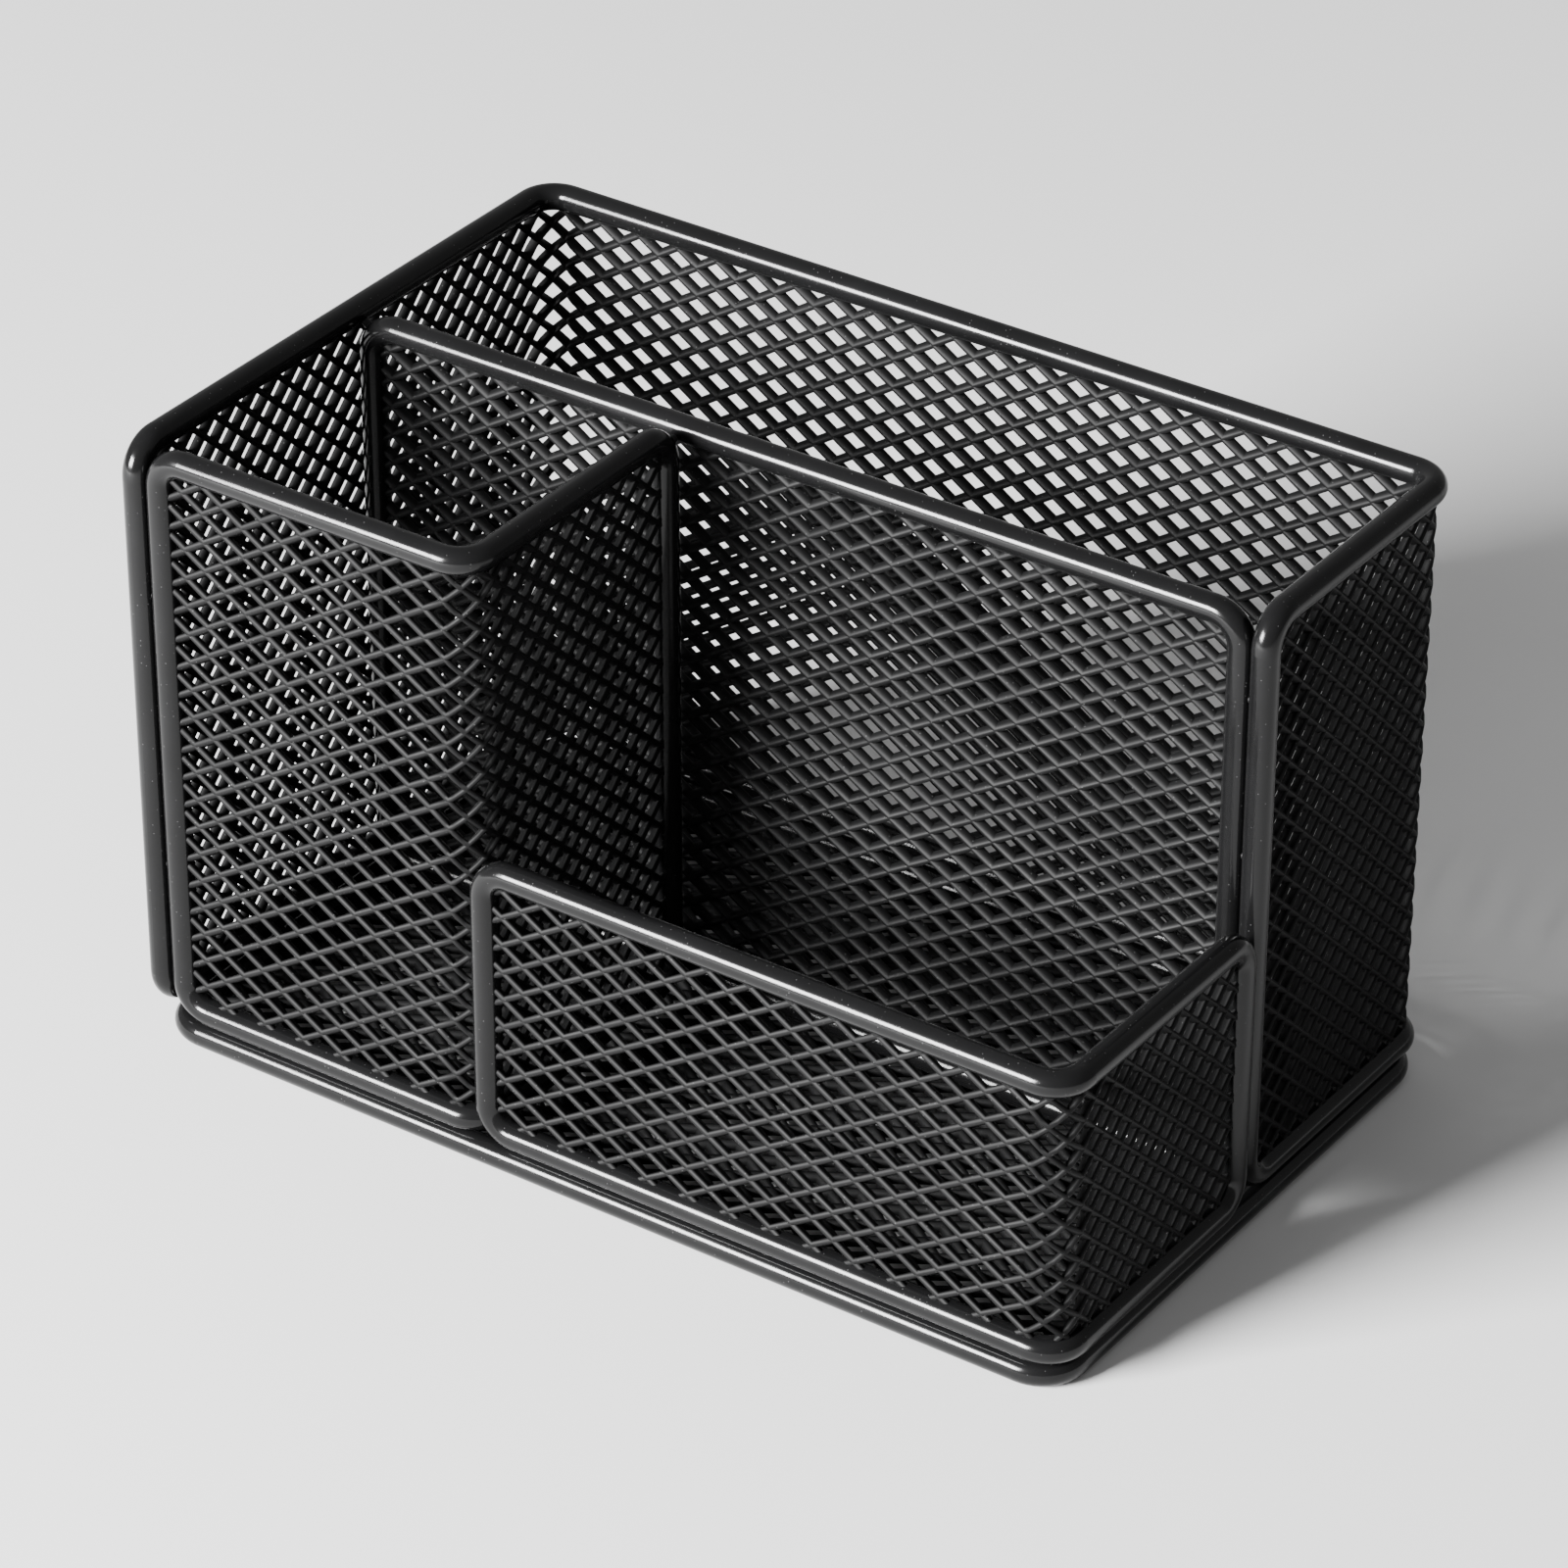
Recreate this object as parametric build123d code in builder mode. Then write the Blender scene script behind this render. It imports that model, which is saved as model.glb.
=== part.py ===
from build123d import *
import os

# Desk organizer: five frames of round rod, each filled with a panel of
# expanded metal, stood on one flat base frame and joined by small tack welds.
# Millimetres, +Z up. The origin is at desk level under the middle of the
# organizer. The pen cup and the tray face -Y, the wall closes the +Y side.

# ---- driving sizes
width = 176.0
depth = 111.2
height = 110.1
tray_height = 57.5
front_bay = 57.6
pen_cup_reach = 68.5
rod = 4.5
sheet = 0.3

# ---- fits, bends and offsets between the frames
weld_gap = 0.2
corner = 5.0
bend = 5.0
base_corner = 6.0
divider_drop = 1.2
tray_proud = 0.95
base_inset = 1.3
tray_inset = 0.65

# ---- rod centre lines worked out from the sizes above
half_rod = rod / 2
step = rod + weld_gap

# The divider's lower bend passes the wall's bottom rail with the weld gap, and
# the tray's lower bend just clears the pen cup's bottom rail.
divider_tuck = ((corner + step) ** 2 - corner**2) ** 0.5 - corner
tray_lap = 1.35 * rod - 0.9 * corner

left = -width / 2 + half_rod
tray_right = width / 2 - half_rod
right = tray_right - tray_proud
front = -depth / 2 + half_rod
back = depth / 2 - half_rod

base_level = half_rod
bottom = base_level + step
top = height - half_rod
tray_top = tray_height - half_rod
divider_top = top - divider_drop

divider_line = -depth / 2 + front_bay
divider_left = left + divider_tuck
divider_right = right - step
pen_cup_left = left + step
pen_cup_right = -width / 2 + pen_cup_reach - half_rod
pen_cup_end = divider_line - step
tray_left = pen_cup_right + tray_lap
tray_end = divider_line - step - tray_proud
wall_end = tray_end + step


def rod_loop(plan, low, high):
    """One rod bent into a closed loop that stands on an open plan line."""
    upper = [(x, y, high) for x, y in plan]
    lower = [(x, y, low) for x, y in reversed(plan)]
    turns = [corner] + [bend] * (len(plan) - 2) + [corner]
    with BuildPart() as loop:
        with BuildLine() as path:
            FilletPolyline(*upper, *lower, radius=turns + turns, close=True)
        start = path.wire() @ 0
        heading = path.wire() % 0
        with BuildSketch(Plane(origin=start, z_dir=heading)):
            Circle(half_rod)
        sweep(path=path.wire())
    return loop


def panel(plan, low, high, rim):
    """The sheet that fills a rod loop, ending on the inside of the rod."""
    with BuildPart() as sheet_panel:
        with BuildSketch(Plane.XY.offset(low)):
            with BuildLine():
                if len(plan) > 2:
                    FilletPolyline(*plan, radius=bend)
                else:
                    Line(*plan)
            trace(line_width=sheet)
        extrude(amount=high - low)
        add(rim.part, mode=Mode.SUBTRACT)
    return sheet_panel


def arc_point(centre, target, radius):
    """The point of a bend that is nearest to a neighbouring rod."""
    reach = Vector(*target) - Vector(*centre)
    return Vector(*centre) + reach.normalized() * radius


def tacks(pairs, rims, radius):
    """Weld tacks between pairs of rod centres, saddled onto both rods."""
    with BuildPart() as group:
        for first, second in pairs:
            run = Vector(*second) - Vector(*first)
            middle = Vector(*first) + run * 0.5
            with Locations(Plane(origin=middle, z_dir=run)):
                Cylinder(radius, run.length)
        for rim in rims:
            add(rim.part, mode=Mode.SUBTRACT)
    return group


# ---- wall: left side, back and the rear half of the right side
wall_plan = [(left, front), (left, back), (right, back), (right, wall_end)]
wall_rim = rod_loop(wall_plan, bottom, top)
wall_mesh = panel(wall_plan, bottom, top, wall_rim)

# ---- divider: a flat screen across the middle, a little lower than the wall
divider_plan = [(divider_left, divider_line), (divider_right, divider_line)]
divider_rim = rod_loop(divider_plan, bottom, divider_top)
divider_mesh = panel(divider_plan, bottom, divider_top, divider_rim)

# ---- pen cup: front and right side of the tall front compartment
pen_cup_plan = [(pen_cup_left, front), (pen_cup_right, front), (pen_cup_right, pen_cup_end)]
pen_cup_rim = rod_loop(pen_cup_plan, bottom, top)
pen_cup_mesh = panel(pen_cup_plan, bottom, top, pen_cup_rim)

# ---- tray: front and right side of the low front compartment
tray_plan = [(tray_left, front), (tray_right, front), (tray_right, tray_end)]
tray_rim = rod_loop(tray_plan, bottom, tray_top)
tray_mesh = panel(tray_plan, bottom, tray_top, tray_rim)

# ---- base: a flat frame under all the others, with the floor panel in it
base_left = left + base_inset
base_right = tray_right - tray_inset
base_back = back - base_inset
base_width = base_right - base_left
base_depth = base_back - front
base_centre = ((base_left + base_right) / 2, (front + base_back) / 2)

with BuildPart() as base_rim:
    with BuildLine() as base_path:
        FilletPolyline(
            (base_left, front, base_level),
            (base_left, base_back, base_level),
            (base_right, base_back, base_level),
            (base_right, front, base_level),
            radius=base_corner,
            close=True,
        )
    with BuildSketch(Plane(origin=base_path.wire() @ 0, z_dir=base_path.wire() % 0)):
        Circle(half_rod)
    sweep(path=base_path.wire())

with BuildPart() as base_mesh:
    with BuildSketch(Plane.XY.offset(base_level - sheet / 2)):
        with Locations(base_centre):
            RectangleRounded(base_width, base_depth, base_corner)
    extrude(amount=sheet)
    add(base_rim.part, mode=Mode.SUBTRACT)

# ---- tacks between the base and the bottom rails that stand on it
tack_radius = rod * 0.15
base_pairs = []
for share in (-0.32, 0.0, 0.32):
    x = share * width
    base_pairs.append(((x, back, bottom), (x, base_back, base_level)))
for share in (-0.22, 0.02, 0.28):
    y = share * depth
    base_pairs.append(((left, y, bottom), (base_left, y, base_level)))
for share in (0.15, 0.35):
    y = share * depth
    base_pairs.append(((right, y, bottom), (base_right, y, base_level)))
for share in (0.25, 0.75):
    x = pen_cup_left + share * (pen_cup_right - pen_cup_left)
    base_pairs.append(((x, front, bottom), (x, front, base_level)))
for share in (0.15, 0.5, 0.85):
    x = tray_left + share * (tray_right - tray_left)
    base_pairs.append(((x, front, bottom), (x, front, base_level)))
for share in (-0.32, -0.12):
    y = share * depth
    base_pairs.append(((tray_right, y, bottom), (base_right, y, base_level)))
rims = [wall_rim, divider_rim, pen_cup_rim, tray_rim, base_rim]
base_tacks = tacks(base_pairs, rims, tack_radius)

# ---- tacks between frames that stand side by side
side_pairs = []
for share in (0.3, 0.75):
    z = share * height
    side_pairs.append(((left, front, z), (pen_cup_left, front, z)))
for share in (0.35, 0.75):
    z = share * tray_height
    side_pairs.append(((tray_right, tray_end, z), (right, wall_end, z)))
for share in (0.6, 0.85):
    z = share * height
    side_pairs.append(((divider_right, divider_line, z), (right, wall_end, z)))

# Where a bend passes a straight rail, the tack bridges their nearest points.
divider_turn = divider_left + corner
cup_turn = pen_cup_end - corner
for rail, divider_rail, sense in ((top, divider_top, -1), (bottom, bottom, 1)):
    centre = (divider_turn, divider_line, divider_rail + sense * corner)
    target = (left, divider_line, rail)
    side_pairs.append((arc_point(centre, target, corner), target))
    centre = (pen_cup_right, cup_turn, rail + sense * corner)
    target = (pen_cup_right, divider_line, divider_rail)
    side_pairs.append((arc_point(centre, target, corner), target))
side_tacks = tacks(side_pairs, rims, tack_radius)

# ---- names and files
wall_rim.part.label = "wall_rim"
wall_mesh.part.label = "wall_mesh"
divider_rim.part.label = "divider_rim"
divider_mesh.part.label = "divider_mesh"
pen_cup_rim.part.label = "pen_cup_rim"
pen_cup_mesh.part.label = "pen_cup_mesh"
tray_rim.part.label = "tray_rim"
tray_mesh.part.label = "tray_mesh"
base_rim.part.label = "base_rim"
base_mesh.part.label = "base_mesh"
base_tacks.part.label = "base_tacks"
side_tacks.part.label = "side_tacks"

os.makedirs("parts", exist_ok=True)
export_step(wall_rim.part, "parts/wall_rim.step")
export_step(wall_mesh.part, "parts/wall_mesh.step")
export_step(divider_rim.part, "parts/divider_rim.step")
export_step(divider_mesh.part, "parts/divider_mesh.step")
export_step(pen_cup_rim.part, "parts/pen_cup_rim.step")
export_step(pen_cup_mesh.part, "parts/pen_cup_mesh.step")
export_step(tray_rim.part, "parts/tray_rim.step")
export_step(tray_mesh.part, "parts/tray_mesh.step")
export_step(base_rim.part, "parts/base_rim.step")
export_step(base_mesh.part, "parts/base_mesh.step")
export_step(base_tacks.part, "parts/base_tacks.step")
export_step(side_tacks.part, "parts/side_tacks.step")
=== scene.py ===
import bmesh
import bpy
import math
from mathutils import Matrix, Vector


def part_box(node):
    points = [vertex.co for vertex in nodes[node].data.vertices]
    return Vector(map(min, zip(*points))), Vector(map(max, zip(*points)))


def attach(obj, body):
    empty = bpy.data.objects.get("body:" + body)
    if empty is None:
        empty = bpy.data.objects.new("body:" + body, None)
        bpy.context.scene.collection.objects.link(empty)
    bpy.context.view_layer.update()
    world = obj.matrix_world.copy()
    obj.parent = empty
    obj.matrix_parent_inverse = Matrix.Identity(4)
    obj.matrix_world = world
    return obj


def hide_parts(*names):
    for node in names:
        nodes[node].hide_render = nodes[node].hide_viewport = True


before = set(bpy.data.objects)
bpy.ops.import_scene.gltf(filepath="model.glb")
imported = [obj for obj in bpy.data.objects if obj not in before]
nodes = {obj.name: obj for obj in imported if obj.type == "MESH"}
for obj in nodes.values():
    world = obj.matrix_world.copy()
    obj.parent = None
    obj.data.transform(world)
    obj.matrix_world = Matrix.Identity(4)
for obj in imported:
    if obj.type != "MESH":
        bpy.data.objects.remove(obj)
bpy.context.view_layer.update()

# ---------------------------------------------------------------- rod frames
# Five closed loops of 4.5 mm steel rod: the flat base frame, the wall, the divider,
# the pen cup and the tray. Each is bent from one rod, butt welded and then coated
# semi-gloss black, so the coat is smooth with a faint peel and a few dust nibs.

PEEL_DETAIL = 3
CLOUD_DETAIL = 4
NIB_SCALE = 900
NIB_REACH = (0.10, 0.04)
NIB_TONE = (0.05, 0.05, 0.05, 1)
CLOUD_SCALE = 90
CLOUD_RANGE = (0.3, 0.7)
BLUE_SHARE = 1.05
PEEL_HEIGHT = 0.0001


def sprayed_coat_group():
    """Shared effect of a sprayed black coat: fine peel, cloudy gloss and dust nibs."""
    group = bpy.data.node_groups.new("sprayed_coat", "ShaderNodeTree")
    group.interface.new_socket("Peel Scale", in_out="INPUT", socket_type="NodeSocketFloat")
    group.interface.new_socket("Cloud Scale", in_out="INPUT", socket_type="NodeSocketFloat")
    group.interface.new_socket("Height", in_out="OUTPUT", socket_type="NodeSocketFloat")
    group.interface.new_socket("Cloud", in_out="OUTPUT", socket_type="NodeSocketFloat")
    group.interface.new_socket("Dust", in_out="OUTPUT", socket_type="NodeSocketFloat")
    tree = group.nodes
    link = group.links.new
    given = tree.new("NodeGroupInput")
    result = tree.new("NodeGroupOutput")
    place = tree.new("ShaderNodeTexCoord")
    peel = tree.new("ShaderNodeTexNoise")
    peel.inputs["Detail"].default_value = PEEL_DETAIL
    cloud = tree.new("ShaderNodeTexNoise")
    cloud.inputs["Detail"].default_value = CLOUD_DETAIL
    nibs = tree.new("ShaderNodeTexVoronoi")
    nibs.inputs["Scale"].default_value = NIB_SCALE
    dust = tree.new("ShaderNodeMapRange")
    dust.inputs["From Min"].default_value = NIB_REACH[0]
    dust.inputs["From Max"].default_value = NIB_REACH[1]
    link(place.outputs["Object"], peel.inputs["Vector"])
    link(place.outputs["Object"], cloud.inputs["Vector"])
    link(place.outputs["Object"], nibs.inputs["Vector"])
    link(given.outputs["Peel Scale"], peel.inputs["Scale"])
    link(given.outputs["Cloud Scale"], cloud.inputs["Scale"])
    link(nibs.outputs["Distance"], dust.inputs["Value"])
    link(peel.outputs["Fac"], result.inputs["Height"])
    link(cloud.outputs["Fac"], result.inputs["Cloud"])
    link(dust.outputs["Result"], result.inputs["Dust"])
    return group


sprayed_coat = sprayed_coat_group()


def black_coat(name, tones, roughness, ior, peel_scale, peel_strength):
    """Black coat on steel that clouds between two tones and two roughnesses."""
    material = bpy.data.materials.new(name)
    material.use_nodes = True
    tree = material.node_tree.nodes
    link = material.node_tree.links.new
    surface = tree["Principled BSDF"]
    surface.inputs["IOR"].default_value = ior
    effect = tree.new("ShaderNodeGroup")
    effect.node_tree = sprayed_coat
    effect.inputs["Peel Scale"].default_value = peel_scale
    effect.inputs["Cloud Scale"].default_value = CLOUD_SCALE
    tone = tree.new("ShaderNodeMix")
    tone.data_type = "RGBA"
    tone.inputs["A"].default_value = (tones[0], tones[0], tones[0], 1)
    tone.inputs["B"].default_value = (tones[1], tones[1], tones[1] * BLUE_SHARE, 1)
    dusted = tree.new("ShaderNodeMix")
    dusted.data_type = "RGBA"
    dusted.inputs["B"].default_value = NIB_TONE
    sheen = tree.new("ShaderNodeMapRange")
    sheen.inputs["From Min"].default_value = CLOUD_RANGE[0]
    sheen.inputs["From Max"].default_value = CLOUD_RANGE[1]
    sheen.inputs["To Min"].default_value = roughness[0]
    sheen.inputs["To Max"].default_value = roughness[1]
    bump = tree.new("ShaderNodeBump")
    bump.inputs["Strength"].default_value = peel_strength
    bump.inputs["Distance"].default_value = PEEL_HEIGHT
    link(effect.outputs["Cloud"], tone.inputs["Factor"])
    link(tone.outputs["Result"], dusted.inputs["A"])
    link(effect.outputs["Dust"], dusted.inputs["Factor"])
    link(dusted.outputs["Result"], surface.inputs["Base Color"])
    link(effect.outputs["Cloud"], sheen.inputs["Value"])
    link(sheen.outputs["Result"], surface.inputs["Roughness"])
    link(effect.outputs["Height"], bump.inputs["Height"])
    link(bump.outputs["Normal"], surface.inputs["Normal"])
    return material


def finish_with(piece, material):
    """Gives a piece one material all over."""
    piece.data.materials.clear()
    piece.data.materials.append(material)


rod_coat = black_coat(
    "rod_coat",
    tones=(0.002, 0.005),
    roughness=(0.15, 0.20),
    ior=1.3,
    peel_scale=1500,
    peel_strength=0.04,
)
for rim in ("base_rim", "wall_rim", "divider_rim", "pen_cup_rim", "tray_rim"):
    finish_with(nodes[rim], rod_coat)

# ---------------------------------------------------------------- base panel
# The floor of the organizer: a flat sheet of expanded steel, slit and pulled open
# into diamonds, then coated black and welded into the base frame. Its strands lean
# so that the floor looks closed from the front.

KNOT_STEP = 0.00773
ROW_STEP = 0.00506
STRAND_WIDTH = 0.00175
STRAND_THICKNESS = 0.00095
STRAND_LEAN = math.radians(60)
STRAND_SPARE = 3 * STRAND_WIDTH
EDGE_ROUNDING = STRAND_THICKNESS / 4
SPARE_KNOTS = 3
SPARE_ROWS = 2
BEFORE_SHEET = -1
MERGE_DISTANCE = 1e-6
SMOOTH_ANGLE = math.radians(50)
BASE_PANEL_INSET = 0.0008


def only(piece):
    """Makes one object the only selected and active one."""
    bpy.ops.object.select_all(action="DESELECT")
    piece.select_set(True)
    bpy.context.view_layer.objects.active = piece


def apply_modifiers(piece):
    """Applies the modifiers of a piece in their order."""
    only(piece)
    for name in [modifier.name for modifier in piece.modifiers]:
        bpy.ops.object.modifier_apply(modifier=name)


def cut_across(axis, place, drop=0):
    """In edit mode, cuts the mesh at a plane; drop tells which side goes, and its cut is closed."""
    where = [0.0, 0.0, 0.0]
    where[axis] = place
    normal = [0.0, 0.0, 0.0]
    normal[axis] = drop or 1
    bpy.ops.mesh.select_all(action="SELECT")
    bpy.ops.mesh.bisect(plane_co=where, plane_no=normal, use_fill=drop != 0, clear_outer=drop != 0)


def strand_pair():
    """One V of two leaning strands, from knot to knot, with the lower knot at the origin."""
    run = KNOT_STEP / 2
    rise = ROW_STEP / 2
    length = math.hypot(run, rise) + STRAND_SPARE
    bpy.ops.mesh.primitive_cube_add(size=1, scale=(length, STRAND_THICKNESS, STRAND_WIDTH))
    strand = bpy.context.object
    only(strand)
    bpy.ops.object.transform_apply(location=True, rotation=True, scale=True)
    bpy.ops.object.mode_set(mode="EDIT")
    bpy.ops.mesh.select_all(action="DESELECT")
    data = bmesh.from_edit_mesh(strand.data)
    for edge in data.edges:
        edge.select = abs(edge.verts[0].co.x - edge.verts[1].co.x) > length / 2
    bmesh.update_edit_mesh(strand.data)
    bpy.ops.mesh.bevel(offset=EDGE_ROUNDING, segments=1)
    bpy.ops.object.mode_set(mode="OBJECT")
    strand.location = (run / 2, 0, rise / 2)
    strand.rotation_euler = (-STRAND_LEAN, -math.atan2(rise, run), 0)
    bpy.ops.object.transform_apply(location=True, rotation=True, scale=True)
    bpy.ops.object.mode_set(mode="EDIT")
    for place, side in ((0, -1), (run, 1)):
        bpy.ops.mesh.select_all(action="SELECT")
        bpy.ops.mesh.bisect(plane_co=(place, 0, 0), plane_no=(side, 0, 0), clear_outer=True)
    bpy.ops.object.mode_set(mode="OBJECT")
    mirror = strand.modifiers.new("pair", "MIRROR")
    mirror.merge_threshold = MERGE_DISTANCE
    return strand


def stretch_beyond(sheet, start, place, factor):
    """In edit mode, scales what starts beyond a point on X, away from a place on X."""
    data = bmesh.from_edit_mesh(sheet.data)
    bpy.ops.mesh.select_all(action="DESELECT")
    for vertex in data.verts:
        vertex.select = vertex.co.x > start
    bmesh.update_edit_mesh(sheet.data)
    bpy.ops.transform.resize(value=(factor, 1, 1), center_override=(place, 0, 0))


def expanded_sheet(name, runs, low, high, slip=0.0):
    """A flat sheet in the XZ plane. runs lists (length, knot step, cuts); slip moves the rows up."""
    sheet = strand_pair()
    sheet.name = name
    whole = sum(length / step for length, step, _ in runs)
    repeats = (
        ("along", math.ceil(whole) + SPARE_KNOTS, (KNOT_STEP, 0, 0)),
        ("stagger", 2, (KNOT_STEP / 2, 0, ROW_STEP / 2)),
        ("up", math.ceil((high - low) / ROW_STEP) + SPARE_ROWS, (0, 0, ROW_STEP)),
    )
    for label, count, offset in repeats:
        array = sheet.modifiers.new(label, "ARRAY")
        array.count = count
        array.use_relative_offset = False
        array.use_constant_offset = True
        array.constant_offset_displace = offset
        array.use_merge_vertices = label == "along"
        array.merge_threshold = MERGE_DISTANCE
    apply_modifiers(sheet)
    bpy.ops.object.mode_set(mode="EDIT")
    bpy.ops.mesh.select_all(action="SELECT")
    first_knot = -SPARE_KNOTS / 2 * KNOT_STEP
    first_row = low - SPARE_ROWS / 2 * ROW_STEP + slip
    bpy.ops.transform.translate(value=(first_knot, 0, first_row))
    place = 0
    previous = KNOT_STEP
    for length, step, cuts in runs:
        stretch_beyond(sheet, place or BEFORE_SHEET, place, step / previous)
        for cut in range(cuts):
            cut_across(0, place + length * cut / (cuts - 1))
        place += length
        previous = step
    cut_across(0, 0, -1)
    cut_across(0, place, 1)
    cut_across(2, low, -1)
    cut_across(2, high, 1)
    bpy.ops.mesh.select_all(action="SELECT")
    bpy.ops.mesh.normals_make_consistent(inside=False)
    bpy.ops.object.mode_set(mode="OBJECT")
    return sheet


def round_off(sheet):
    """Shades the strands as rounded bars with crisp cut ends."""
    only(sheet)
    bpy.ops.object.shade_smooth_by_angle(angle=SMOOTH_ANGLE)


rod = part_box("base_rim")[1].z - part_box("base_rim")[0].z
half_rod = rod / 2


def rod_lines(rim):
    """The box of a rod frame, drawn in to the centre line of its rod."""
    low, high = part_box(rim)
    return [value + half_rod for value in low], [value - half_rod for value in high]


mesh_coat = black_coat(
    "mesh_coat",
    tones=(0.002, 0.004),
    roughness=(0.52, 0.62),
    ior=1.2,
    peel_scale=2600,
    peel_strength=0.15,
)
low, high = rod_lines("base_rim")
base_length = high[0] - low[0] - 2 * BASE_PANEL_INSET
base_panel = expanded_sheet(
    "base_expanded_metal",
    [(base_length, KNOT_STEP, 0)],
    low[1] + BASE_PANEL_INSET,
    high[1] - BASE_PANEL_INSET,
)
base_middle = ((low[0] + high[0]) / 2, (low[1] + high[1]) / 2, half_rod)
bpy.ops.object.mode_set(mode="EDIT")
bpy.ops.mesh.select_all(action="SELECT")
bpy.ops.transform.rotate(value=math.pi / 2, orient_axis="X", center_override=(0, 0, 0))
bpy.ops.transform.translate(value=(low[0] + BASE_PANEL_INSET, 0, half_rod))
bpy.ops.transform.rotate(value=math.pi, orient_axis="Z", center_override=base_middle)
bpy.ops.object.mode_set(mode="OBJECT")
round_off(base_panel)
finish_with(base_panel, mesh_coat)
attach(base_panel, "root")
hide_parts("base_mesh")

# ---------------------------------------------------------------- wall panel
# One strip of the same expanded steel that closes the left side, the back and the
# rear half of the right side. It is bent round the two back corners with its rod,
# and its cut edges are welded along the inside of the rod.

SIDE_KNOT_STEP = 0.0053
PANEL_BEND = 0.005
BEND_CUTS = 8
CIRCLE_HANDLE = 0.5523
GUIDE_STEPS = 32
WALL_END_BEFORE_DIVIDER = 0.00095
WALL_ROW_SLIP = ROW_STEP / 2


def bend_round(sheet, plan):
    """Bends a flat sheet along a plan line of straight runs and round bends."""
    corners = [Vector((x, y, 0)) for x, y in plan]
    headings = [(b - a).normalized() for a, b in zip(corners, corners[1:])]
    stops = [(corners[0], headings[0])]
    for corner, heading, following in zip(corners[1:], headings, headings[1:]):
        stops.append((corner - heading * PANEL_BEND, heading))
        stops.append((corner + following * PANEL_BEND, following))
    stops.append((corners[-1], headings[-1]))
    bpy.ops.curve.primitive_bezier_curve_add(location=(0, 0, 0))
    guide = bpy.context.object
    guide.data.dimensions = "3D"
    guide.data.twist_mode = "Z_UP"
    guide.data.resolution_u = GUIDE_STEPS
    reach = PANEL_BEND * CIRCLE_HANDLE
    points = guide.data.splines[0].bezier_points
    points.add(len(stops) - 2)
    for point, (place, heading) in zip(points, stops):
        point.handle_left_type = "FREE"
        point.handle_right_type = "FREE"
        point.co = place
        point.handle_left = place - heading * reach
        point.handle_right = place + heading * reach
    wrap = sheet.modifiers.new("plan", "CURVE")
    wrap.object = guide
    wrap.deform_axis = "POS_X"
    apply_modifiers(sheet)
    bpy.data.objects.remove(guide)


def panel_of_frame(name, plan, low, high, slip=0.0):
    """The expanded metal of one frame. Its outer face is on the left of the plan's heading."""
    runs = []
    for index, (start, end) in enumerate(zip(plan, plan[1:])):
        bends = (index > 0) + (index < len(plan) - 2)
        crosswise = abs(start[1] - end[1]) < MERGE_DISTANCE
        step = KNOT_STEP if crosswise else SIDE_KNOT_STEP
        if runs:
            runs.append((math.pi / 2 * PANEL_BEND, SIDE_KNOT_STEP, BEND_CUTS))
        runs.append((math.dist(start, end) - bends * PANEL_BEND, step, 0))
    sheet = expanded_sheet(name, runs, low, high, slip)
    bend_round(sheet, plan)
    round_off(sheet)
    finish_with(sheet, mesh_coat)
    return sheet


low, high = rod_lines("wall_rim")
wall_end = rod_lines("divider_rim")[0][1] - WALL_END_BEFORE_DIVIDER
wall_plan = [(low[0], low[1]), (low[0], high[1]), (high[0], high[1]), (high[0], wall_end)]
wall_panel = panel_of_frame("wall_expanded_metal", wall_plan, low[2], high[2], WALL_ROW_SLIP)
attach(wall_panel, "root")
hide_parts("wall_mesh")

# ---------------------------------------------------------------- divider panel
# A flat sheet of the same expanded steel across the middle, in its own rod loop.
# It parts the full-width rear bay from the two front compartments.

low, high = rod_lines("divider_rim")
divider_plan = [(low[0], low[1]), (high[0], low[1])]
divider_panel = panel_of_frame("divider_expanded_metal", divider_plan, low[2], high[2])
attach(divider_panel, "root")
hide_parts("divider_mesh")

# ---------------------------------------------------------------- pen cup panel
# The front and the right side of the tall pen cup, one sheet of expanded steel
# bent round the front corner together with its rod.

low, high = rod_lines("pen_cup_rim")
pen_cup_plan = [(high[0], high[1]), (high[0], low[1]), (low[0], low[1])]
pen_cup_panel = panel_of_frame("pen_cup_expanded_metal", pen_cup_plan, low[2], high[2])
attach(pen_cup_panel, "root")
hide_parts("pen_cup_mesh")

# ---------------------------------------------------------------- tray panel
# The front and the right side of the low tray, made like the pen cup's panel
# but about half as high.

low, high = rod_lines("tray_rim")
tray_plan = [(high[0], high[1]), (high[0], low[1]), (low[0], low[1])]
tray_panel = panel_of_frame("tray_expanded_metal", tray_plan, low[2], high[2])
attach(tray_panel, "root")
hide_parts("tray_mesh")

# ---------------------------------------------------------------- weld tacks
# Small tacks of weld metal that join the five frames to each other, laid in the
# grooves between their rods before coating. They are rougher than the rods.

weld_coat = black_coat(
    "weld_coat",
    tones=(0.003, 0.007),
    roughness=(0.40, 0.52),
    ior=1.3,
    peel_scale=2200,
    peel_strength=0.5,
)
for tack_group in ("base_tacks", "side_tacks"):
    finish_with(nodes[tack_group], weld_coat)

# ---------------------------------------------------------------- desk, light and camera
# A pale desk top, an even studio room, one low softbox at the front left, and the
# camera at the front right, looking down on the organizer.

DESK_SIZE = 6
DESK_TONE = 0.6
DESK_ROUGHNESS = 0.9
ROOM_STRENGTH = 0.38

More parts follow.
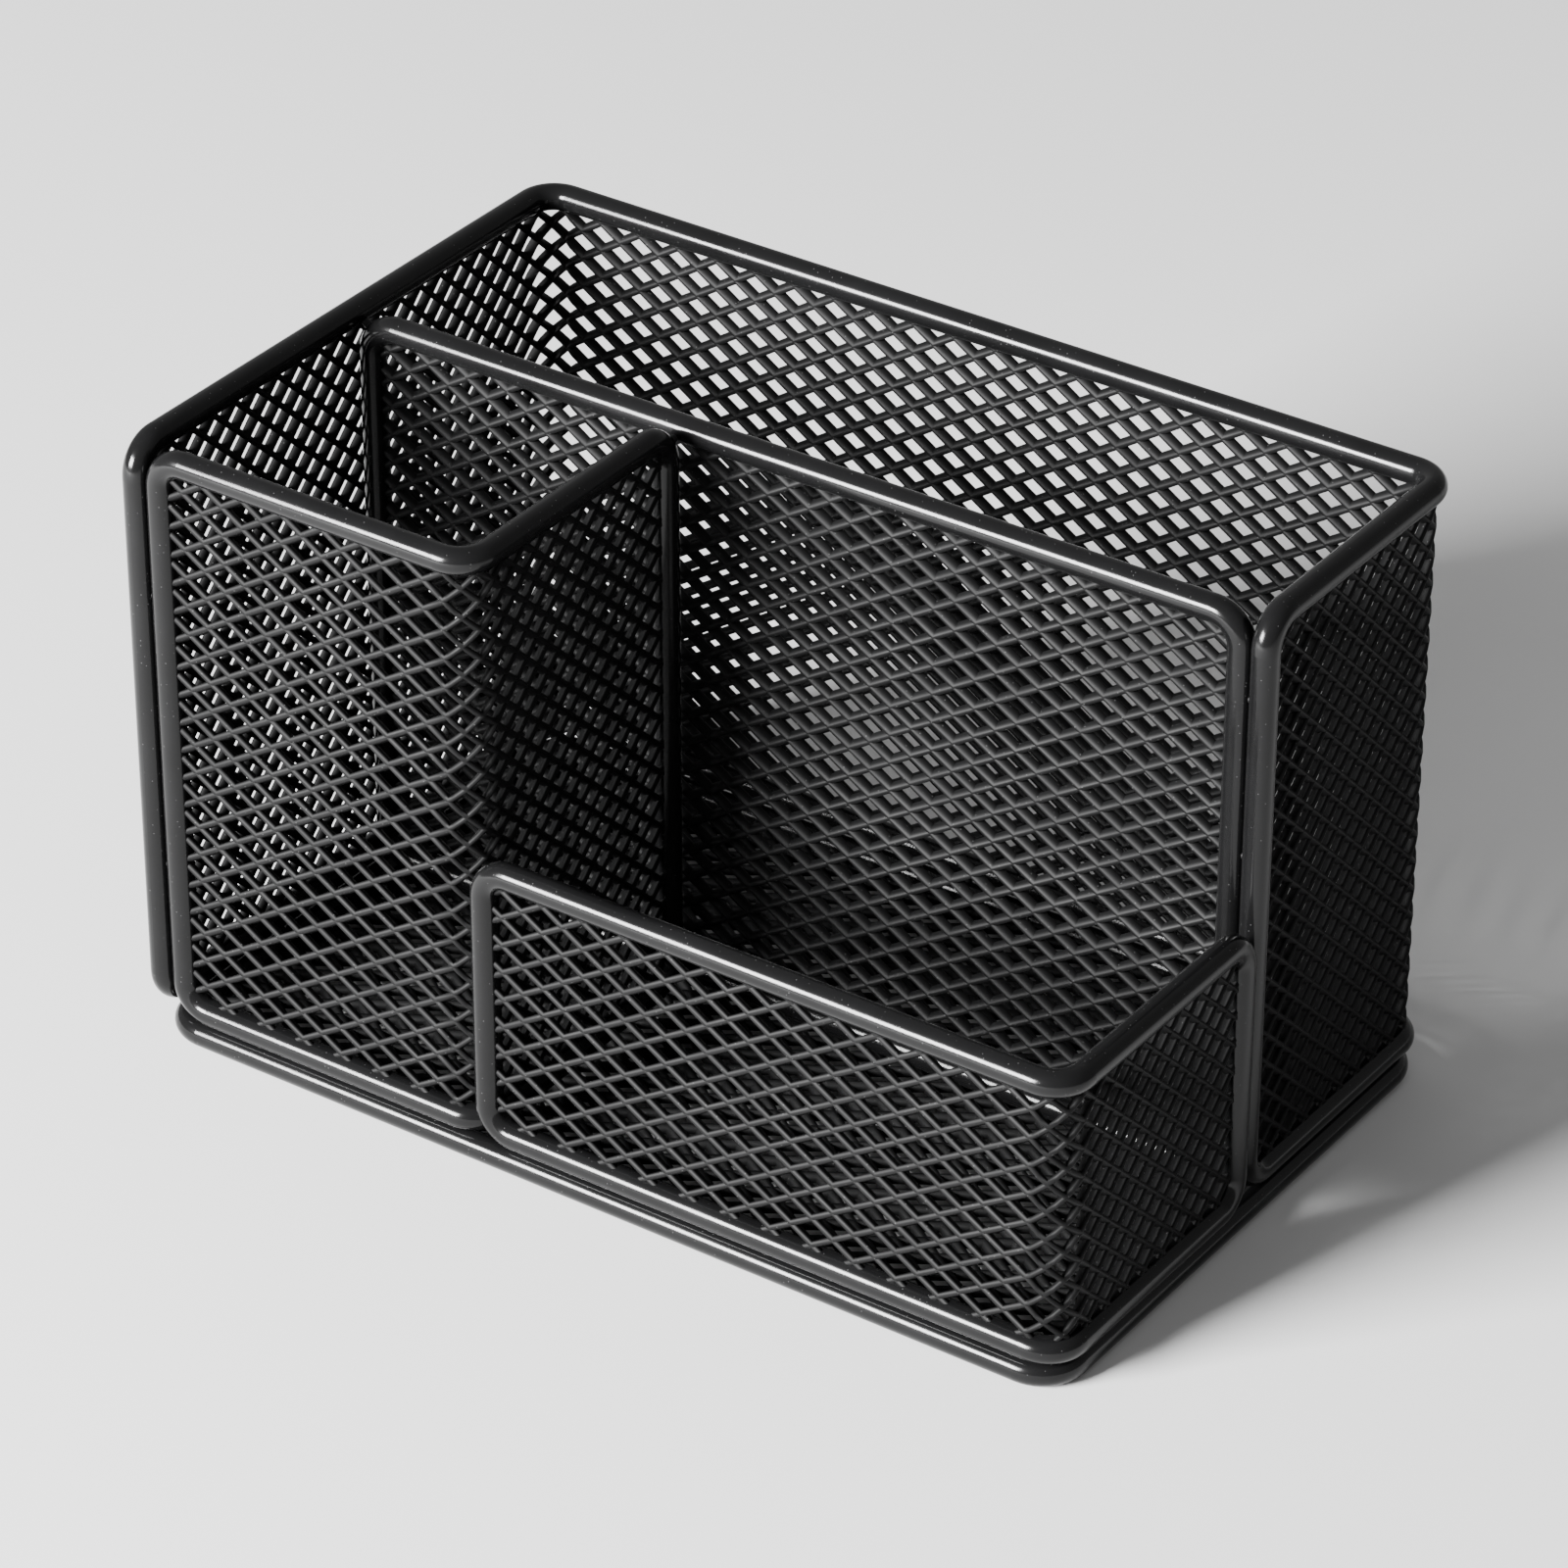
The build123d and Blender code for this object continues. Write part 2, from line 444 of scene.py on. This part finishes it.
bpy.ops.mesh.primitive_plane_add(size=DESK_SIZE, location=(0, 0, 0))
desk = bpy.context.object
desk.name = "desk"
desk_paint = bpy.data.materials.new("desk_paint")
desk_paint.use_nodes = True
desk_surface = desk_paint.node_tree.nodes["Principled BSDF"]
desk_surface.inputs["Base Color"].default_value = (DESK_TONE, DESK_TONE, DESK_TONE, 1)
desk_surface.inputs["Roughness"].default_value = DESK_ROUGHNESS
finish_with(desk, desk_paint)

studio = bpy.data.worlds.new("studio")
studio.use_nodes = True
room_light = studio.node_tree.nodes["Background"]
room_light.inputs["Color"].default_value = (1, 1, 1, 1)
room_light.inputs["Strength"].default_value = ROOM_STRENGTH
bpy.context.scene.world = studio

SOFTBOX_TURN = math.radians(24)
SOFTBOX_RISE = math.radians(20)
SOFTBOX_DISTANCE = 1.6
SOFTBOX_AIM_HEIGHT = 0.05
SOFTBOX_WIDTH = 0.7
SOFTBOX_HEIGHT = 0.5
SOFTBOX_POWER = 250
softbox_reach = SOFTBOX_DISTANCE * math.cos(SOFTBOX_RISE)
softbox_place = (
    -softbox_reach * math.sin(SOFTBOX_TURN),
    -softbox_reach * math.cos(SOFTBOX_TURN),
    SOFTBOX_DISTANCE * math.sin(SOFTBOX_RISE) + SOFTBOX_AIM_HEIGHT,
)
softbox_facing = (math.pi / 2 - SOFTBOX_RISE, 0, -SOFTBOX_TURN)
bpy.ops.object.light_add(type="AREA", location=softbox_place, rotation=softbox_facing)
softbox = bpy.context.object
softbox.name = "softbox"
softbox.data.shape = "RECTANGLE"
softbox.data.size = SOFTBOX_WIDTH
softbox.data.size_y = SOFTBOX_HEIGHT
softbox.data.energy = SOFTBOX_POWER

CAMERA_PLACE = (0.5109, -0.7401, 0.6094)
CAMERA_TILT = math.radians(58.13)
CAMERA_TURN = math.radians(34.674)
CAMERA_ROLL = math.radians(0.092)
SENSOR_WIDTH = 36
FOCAL_LENGTH = 154.01
VIEW_DEPTH = 10

bpy.ops.object.camera_add(location=CAMERA_PLACE, rotation=(CAMERA_TILT, 0, CAMERA_TURN))
camera = bpy.context.object
camera.rotation_euler.rotate_axis("Z", CAMERA_ROLL)
camera.data.sensor_width = SENSOR_WIDTH
camera.data.lens = FOCAL_LENGTH
camera.data.clip_end = VIEW_DEPTH
bpy.context.scene.camera = camera
